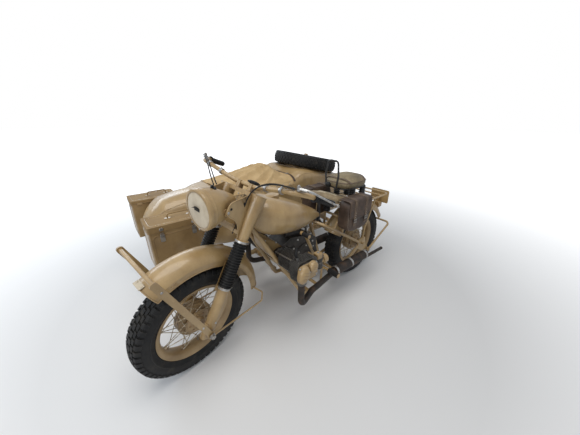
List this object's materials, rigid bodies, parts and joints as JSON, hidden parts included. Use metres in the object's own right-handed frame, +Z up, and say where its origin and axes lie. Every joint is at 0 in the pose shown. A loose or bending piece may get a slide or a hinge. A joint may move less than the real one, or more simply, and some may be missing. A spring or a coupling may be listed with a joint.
{
  "type": "sidecar motorcycle",
  "caption": "Motorcycle with sidecar in desert tan: flat-twin engine, telescopic fork, bulb-nosed sidecar with canvas cover, spare wheel, lidded nose boxes and panniers",
  "frame": {"origin": "on the floor under the middle of the whole outfit's bounding box", "axes": "+X forward, +Y to the rider's left, +Z up; metres"},
  "size_m": [2.3642, 1.7298, 1.1485],
  "materials": {
    "tan_paint": "desert tan enamel, worn",
    "dark_metal": "dark grey heat-stained castings",
    "fin_alloy": "oily cast alloy",
    "tyre_rubber": "dusty black block-tread rubber",
    "black_rubber": "matt black rubber",
    "black_steel": "black enamel",
    "bright_steel": "dull bright steel",
    "lamp_disc": "cream painted disc in a tan ring",
    "canvas": "tan canvas with folds",
    "seat_cloth": "tan and olive hide",
    "bag_leather": "dark brown hide",
    "red_lens": "red lens in a tan housing"
  },
  "bodies": {
    "motorcycle": {"frame": "tan_paint", "engine_front_cover": "tan_paint", "left_rocker_cover": "tan_paint", "right_rocker_cover": "tan_paint", "fuel_tank": "tan_paint", "luggage_rack": "tan_paint", "final_drive": "tan_paint", "footrests": "tan_paint", "kick_lever": "tan_paint", "rear_mudguard": "tan_paint", "sidecar_frame": "tan_paint", "sidecar_links": "tan_paint", "sidecar_nose": "tan_paint", "sidecar_left_side": "tan_paint", "sidecar_right_side": "tan_paint", "sidecar_floor": "tan_paint", "sidecar_deck": "tan_paint", "sidecar_tail": "tan_paint", "sidecar_mudguard": "tan_paint", "near_box": "tan_paint", "far_box": "tan_paint", "box_brackets": "tan_paint", "engine_block": "dark_metal", "left_cylinder": "fin_alloy", "right_cylinder": "fin_alloy", "left_exhaust": "black_steel", "right_exhaust": "black_steel", "saddle_springs": "black_steel", "pillion_frame": "black_steel", "saddle": "seat_cloth", "pillion_seat": "seat_cloth", "sidecar_seat": "seat_cloth", "left_pannier": "bag_leather", "right_pannier": "bag_leather", "canvas_cover": "canvas", "tail_lamp": "red_lens"},
    "steering": {"fork_sliders": "tan_paint", "fork_gaiters": "black_rubber", "fork_shrouds": "tan_paint", "handlebar": "tan_paint", "hand_grips": "black_rubber", "hand_levers": "bright_steel", "headlamp_shell": "tan_paint", "headlamp_cover": "lamp_disc", "front_mudguard": "tan_paint"},
    "front_wheel_body": {"front_wheel": "tan_paint", "front_tyre": "tyre_rubber"},
    "rear_wheel_body": {"rear_wheel": "tan_paint", "rear_tyre": "tyre_rubber"},
    "sidecar_wheel_body": {"sidecar_wheel": "tan_paint", "sidecar_tyre": "tyre_rubber"},
    "front_stand_body": {"front_stand": "tan_paint"},
    "rear_stand_body": {"rear_stand": "tan_paint"},
    "near_box_lid_body": {"near_box_lid": "tan_paint"},
    "far_box_lid_body": {"far_box_lid": "tan_paint"},
    "boot_lid_body": {"boot_lid": "tan_paint", "spare_wheel": "tan_paint", "spare_tyre": "tyre_rubber"}
  },
  "joints": [
    {"name": "steering", "type": "hinge", "parent": "motorcycle", "child": "steering", "pos_m": [0.79891, 0.395, 0.29268], "axis": [-0.4617, 0, 0.887], "range_deg": [-37, 20]},
    {"name": "front_wheel_spin", "type": "hinge", "parent": "steering", "child": "front_wheel_body", "pos_m": [0.85953, 0.41015, 0.32423], "axis": [-0.192, 0.9763, -0.0999], "continuous": true},
    {"name": "rear_wheel_spin", "type": "hinge", "parent": "motorcycle", "child": "rear_wheel_body", "pos_m": [-0.583, 0.395, 0.325], "axis": [0, 1, 0], "continuous": true},
    {"name": "sidecar_wheel_spin", "type": "hinge", "parent": "motorcycle", "child": "sidecar_wheel_body", "pos_m": [-0.583, -0.785, 0.325], "axis": [0, 1, 0], "continuous": true},
    {"name": "front_stand_swing", "type": "hinge", "parent": "steering", "child": "front_stand_body", "pos_m": [0.85953, 0.41015, 0.32423], "axis": [-0.192, 0.9763, -0.0999], "range_deg": [0, 98]},
    {"name": "rear_stand_swing", "type": "hinge", "parent": "motorcycle", "child": "rear_stand_body", "pos_m": [-0.678, 0.395, 0.235], "axis": [0, -1, 0], "range_deg": [0, 68]},
    {"name": "near_box_lid_hinge", "type": "hinge", "parent": "motorcycle", "child": "near_box_lid_body", "pos_m": [0.772, -0.162, 0.73], "axis": [1, 0, 0], "range_deg": [0, 95]},
    {"name": "far_box_lid_hinge", "type": "hinge", "parent": "motorcycle", "child": "far_box_lid_body", "pos_m": [0.772, -0.548, 0.73], "axis": [-1, 0, 0], "range_deg": [0, 95]},
    {"name": "boot_lid_hinge", "type": "hinge", "parent": "motorcycle", "child": "boot_lid_body", "pos_m": [-1.0065, -0.355, 0.76776], "axis": [0, -1, 0], "range_deg": [0, 95]}
  ]
}
